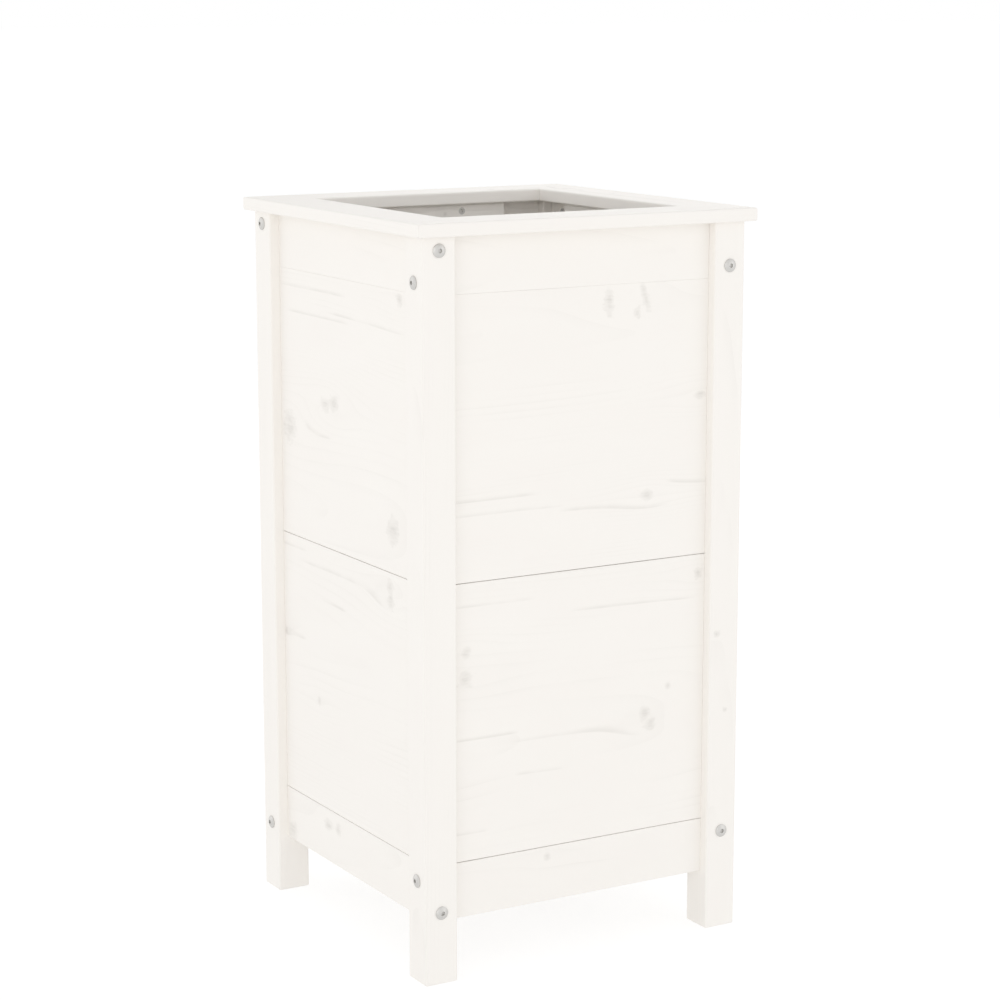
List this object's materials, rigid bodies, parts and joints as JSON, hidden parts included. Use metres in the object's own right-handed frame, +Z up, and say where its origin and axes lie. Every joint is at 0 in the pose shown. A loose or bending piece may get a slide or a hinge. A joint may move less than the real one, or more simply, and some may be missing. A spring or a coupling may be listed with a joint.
{
  "type": "tall wooden planter",
  "caption": "Tall square planter in white painted wood: corner posts as feet, recessed board sides bolted at the rails, a flat overhanging rim and an open slatted floor.",
  "frame": {"origin": "on the ground at the middle of the planter", "axes": "+Z up, front towards -Y, right side towards +X"},
  "size_m": [0.4, 0.4, 0.78],
  "materials": {
    "white_paint": "white paint, satin",
    "zinc_steel": "dull zinc plate",
    "bare_wood": "bare softwood"
  },
  "bodies": {
    "root": {"post_front_left": "white_paint", "post_front_right": "white_paint", "post_back_right": "white_paint", "post_back_left": "white_paint", "top_rail_front": "white_paint", "top_rail_right": "white_paint", "top_rail_back": "white_paint", "top_rail_left": "white_paint", "upper_board_front": "white_paint", "upper_board_right": "white_paint", "upper_board_back": "white_paint", "upper_board_left": "white_paint", "lower_board_front": "white_paint", "lower_board_right": "white_paint", "lower_board_back": "white_paint", "lower_board_left": "white_paint", "bottom_rail_front": "white_paint", "bottom_rail_right": "white_paint", "bottom_rail_back": "white_paint", "bottom_rail_left": "white_paint", "rim_board_front": "white_paint", "rim_board_right": "white_paint", "rim_board_back": "white_paint", "rim_board_left": "white_paint", "rim_cleat_front": "white_paint", "rim_cleat_right": "white_paint", "rim_cleat_back": "white_paint", "rim_cleat_left": "white_paint", "floor_cleat_front": "white_paint", "floor_cleat_back": "white_paint", "floor_slat_left": "white_paint", "floor_slat_mid_left": "white_paint", "floor_slat_mid_right": "white_paint", "floor_slat_right": "white_paint", "connector_bolts": "zinc_steel", "barrel_nuts": "zinc_steel", "rail_dowels": "bare_wood", "mitre_splines": "bare_wood", "rim_cleat_screws": "zinc_steel", "floor_cleat_screws": "zinc_steel", "rim_screws": "zinc_steel", "floor_screws": "zinc_steel"}
  },
  "joints": []
}
